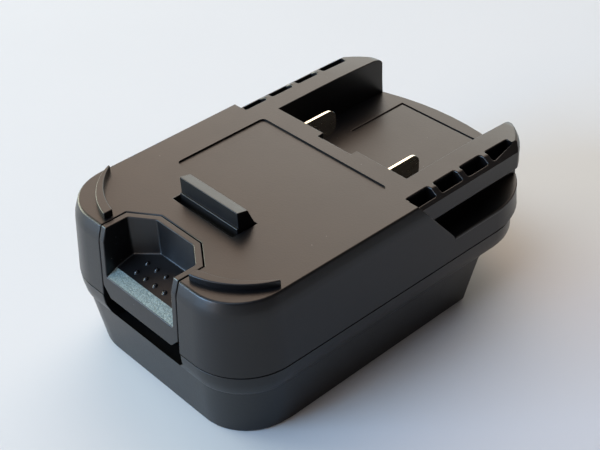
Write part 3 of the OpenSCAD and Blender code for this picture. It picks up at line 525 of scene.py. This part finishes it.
def upper_edges(edge, angle):
    """Rounding of the upper shell's edges."""
    if level(edge, SLIT_TOP):
        return SLIT_ROUND if angle > SQUARE else 0
    if level(edge, DECK) and BAND_LEAST < angle < BAND_MOST:
        return DECK_ROUND
    if level(edge, DECK - EDGE_BAND) and angle > SLIGHT:
        return BAND_ROUND
    if level(edge, DECK - RAIL_BEVEL) and beside(edge, RAIL_OUTER) or on_panel(edge):
        return 0
    if angle > SHARP:
        return RAIL_ROUND if on_rail(edge) else UPPER_ROUND
    return 0


def lower_edges(edge, angle):
    """Rounding of the lower shell's edges."""
    if level(edge, PARTING) and angle > SQUARE:
        return RIM_ROUND
    if level(edge, 0) and angle > SQUARE:
        return FOOT_ROUND
    return LOWER_ROUND if angle > SHARP else 0


def button_edges(edge, angle):
    """Rounding of the button's edges and of the corners in its bucket; the grip bumps stay as they are."""
    if edge.calc_length() < BUTTON_SHORTEST:
        return 0
    if angle < -SHARP and all(v.co.z > BUCKET_LOW for v in edge.verts):
        return BUCKET_ROUND
    return BUTTON_ROUND if angle > SHARP else 0


def hook_edges(edge, angle):
    """Rounding of the hook's edges."""
    return HOOK_ROUND if angle > SHARP and edge.calc_length() > HOOK_SHORTEST else 0


def blade_edges(edge, angle):
    """Rounding of a stamped blade's edges."""
    return BLADE_ROUND if angle > SHARP else 0


def sheen_and_grain_sill(button, index):
    """Gives the button's front sill, which leans a little forward, its grained finish with the painted
    sheen.
    """
    forward, upward = -0.3, 0.8
    for face in button.data.polygons:
        if face.normal.y < forward and face.normal.z > upward and face.center.y < SILL_REAR:
            face.material_index = index


BUTTON_FINISHES = [LATCH, SILL]
moulded("upper_shell", "top_shell", "housing", [SHELL], upper_edges, reshape=part_shells)
moulded("lower_shell", "bottom_shell", "housing", [SHELL], lower_edges, reshape=tuck_rear)
button = moulded(
    "thumb_button", "release_button", "latch", BUTTON_FINISHES, button_edges,
    smooth=BUTTON_SMOOTH)
sheen_and_grain_sill(button, BUTTON_FINISHES.index(SILL))
moulded("latch_tooth", "latch_hook", "latch", [LATCH], hook_edges)
for side in ("positive", "negative"):
    moulded(f"tool_blade_{side}", f"contact_blade_{side}", "housing", [PLATED], blade_edges,
            segments=2)


def mesh_of(shape, name):
    """Mesh of a finished shape."""
    mesh = bpy.data.meshes.new(name)
    shape.to_mesh(mesh)
    shape.free()
    return mesh


def dome(shape, middle, radius, rounds=20, layers=12):
    """Adds a small sphere to a shape, with its corners and faces always in the same order."""
    def corner(layer, step):
        tilt, turn = pi * layer / layers, 2 * pi * step / rounds
        return middle + radius * Vector((sin(tilt) * cos(turn), sin(tilt) * sin(turn), cos(tilt)))

    top, bottom = shape.verts.new(corner(0, 0)), shape.verts.new(corner(layers, 0))
    rings = [[shape.verts.new(corner(layer, step)) for step in range(rounds)] for layer in range(1, layers)]
    for k in range(rounds):
        ahead = (k + 1) % rounds
        shape.faces.new((top, rings[0][k], rings[0][ahead]))
        shape.faces.new((bottom, rings[-1][ahead], rings[-1][k]))
        for upper, lower in zip(rings, rings[1:]):
            shape.faces.new((upper[k], lower[k], lower[ahead], upper[ahead]))


def grip_bumps():
    """Small domes on the floor of the thumb bucket, over the solid's own bumps."""
    radius, proud = 0.76 * MM, 0.04 * MM
    shape = bmesh.new()
    for bump in BUMPS:
        top = SOLIDS.ray_cast(bump, Vector((0, 0, -1)))[0]
        dome(shape, top - Vector((0, 0, radius - proud)), radius)
    mesh = mesh_of(shape, "grip_bumps")
    mesh.shade_smooth()
    mesh.materials.append(POLISHED)
    bumps = placed("grip_bumps", mesh)
    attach(bumps, "latch")


grip_bumps()


# Springs
def swept(name, path, diameter, sides):
    """Round wire along a list of points."""
    shape = bmesh.new()
    rings = []
    side = Vector((1, 0, 0))
    turns = [2 * pi * k / sides for k in range(sides)]
    for i, point in enumerate(path):
        ahead = (path[min(i + 1, len(path) - 1)] - path[max(i - 1, 0)]).normalized()
        side = (side - side.dot(ahead) * ahead).normalized()
        other = ahead.cross(side)
        ring = [point + diameter / 2 * (cos(t) * side + sin(t) * other) for t in turns]
        rings.append([shape.verts.new(corner) for corner in ring])
    for a, b in zip(rings, rings[1:]):
        for k in range(sides):
            shape.faces.new((a[k], a[(k + 1) % sides], b[(k + 1) % sides], b[k])).smooth = True
    shape.faces.new(rings[0][::-1])
    shape.faces.new(rings[-1])
    return placed(name, mesh_of(shape, name))


def latch_coil(side):
    """Compression spring in place of its solid."""
    wire, turns, steps = 0.9 * MM, 7, 28
    low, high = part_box(f"latch_spring_{side}")
    middle = (low + high) / 2
    radius = (high.x - low.x - wire) / 2
    rise = high.z - low.z - wire
    path = []
    for i in range(turns * steps + 1):
        turn = 2 * pi * i / steps
        height = low.z + wire / 2 + rise * i / (turns * steps)
        path.append(Vector((middle.x + radius * cos(turn), middle.y + radius * sin(turn), height)))
    coil = swept(f"latch_coil_{side}", path, wire, sides=10)
    coil.data.materials.append(STEEL)
    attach(coil, "housing")
    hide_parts(f"latch_spring_{side}")
    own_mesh(coil)


for side in ("left", "right"):
    latch_coil(side)


# Finishes of the solids that stay
STAYING = {
    STEEL: ["latch_screws", "carrier_screws", "board_screws", "housing_screws"],
    INSULATOR: ["contact_carrier", "socket_block"],
    BRASS: ["socket_blade_positive", "socket_blade_negative", "socket_blade_signal"],
    PLATED: ["lead_crimps"],
    BOARD: ["circuit_board"],
    PACKAGE: ["power_transistors", "control_chip"],
    RED_LEAD: ["lead_positive"],
    BLACK_LEAD: ["lead_negative"],
}
for material, nodes in STAYING.items():
    for node in nodes:
        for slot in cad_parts[node].material_slots:
            slot.material = material


# Floor and light
ROOM_DIM = (0.11, 0.095, 0.09)
# Azimuth and elevation of each glow, how far it spreads, and its light
ROOM_GLOWS = [
    (radians(131), radians(32), radians(42), (3.15, 2.3, 1.75)),
    (radians(128), radians(14), radians(30), (0.35, 1.2, 1.5)),
    (radians(250), radians(70), radians(26), (1.9, 2.4, 3.1)),
]
GROUND = (0.78, 0.8, 0.82)
GROUND_FALL, GROUND_AWAY = radians(9), radians(32)
GROUND_BLUR = 0.05


def pointing(azimuth, elevation):
    """Direction at an azimuth, counted from +X, and an elevation."""
    return Vector((cos(elevation) * cos(azimuth), cos(elevation) * sin(azimuth), sin(elevation)))


def pale_floor():
    """Large pale matt table top under the part, which stands near its right front corner."""
    nodes, surface = finish("pale_floor_paper", IOR=1.4)
    cloud = nodes.noise(60 * MM, detail=3)
    fibre = nodes.noise(0.5 * MM, detail=3)
    shaded, clean, depth = (0.63, 0.645, 0.655), (0.67, 0.68, 0.685), 0.01 * MM
    colour = nodes.mix(cloud, shaded, clean)
    rough = 0.75 + 0.1 * (fibre - 0.5)
    material = surface(Base_Color=colour, Roughness=rough, Normal=nodes.bump(fibre, depth))
    far, right, near = 4, 0.26, -0.2
    turn = Matrix.Rotation(VIEW_AZIMUTH, 3, "Z")
    corners = [(-far, near, 0), (right, near, 0), (right, far, 0), (-far, far, 0)]
    mesh = bpy.data.meshes.new("floor")
    mesh.from_pydata([turn @ Vector(c) for c in corners], [], [(0, 1, 2, 3)])
    mesh.materials.append(material)
    floor = placed("floor", mesh)


def window(name, azimuth, width, radiance):
    """Tall soft window some way off, with its foot at the height of the table."""
    distance, height = 2.8, 1.6
    strength = max(radiance)
    lamp = bpy.data.lights.new(name, "AREA")
    lamp.shape = "RECTANGLE"
    lamp.size, lamp.size_y = width, height
    lamp.energy = strength * pi * width * height
    lamp.color = [c / strength for c in radiance]
    away = pointing(azimuth, 0)
    pane = placed(name, lamp)
    pane.location = distance * away + Vector((0, 0, height / 2))
    pane.rotation_mode = "QUATERNION"
    pane.rotation_quaternion = away.to_track_quat("Z", "Y")


def room_light():
    """Dim room with a lit wall behind and a pale ceiling in front, over pale ground.

    The ground falls away to the right, so that side of the part stays dark.
    """
    world = bpy.data.worlds.new("room")
    scene.world = world
    nodes = Nodes(world)
    direction = nodes.node("ShaderNodeTexCoord", output="Generated")
    light = ROOM_DIM
    for azimuth, elevation, spread, colour in ROOM_GLOWS:
        along = nodes.towards(direction, pointing(azimuth, elevation))
        glow = nodes.mix(nodes.ramp(along, cos(spread), 1), (0, 0, 0), colour)
        light = nodes.node("ShaderNodeVectorMath", {"operation": "ADD"}, {0: light, 1: glow})
    above = nodes.towards(direction, pointing(GROUND_AWAY, pi / 2 - GROUND_FALL))
    light = nodes.mix(nodes.ramp(above, -GROUND_BLUR, GROUND_BLUR), GROUND, light)
    background = nodes.node("ShaderNodeBackground", {}, {"Color": light, "Strength": 1.0})
    nodes.node("ShaderNodeOutputWorld", {}, {"Surface": background})


photo_camera()
pale_floor()
window("left_window", radians(195), 2.6, (8.1, 8.2, 6.5))
window("front_window", radians(253), 2.4, (6.2, 5.3, 4.9))
window("front_sky", radians(247), 1.6, (0.4, 5.4, 11.2))
room_light()
scene.view_settings.view_transform = "Standard"
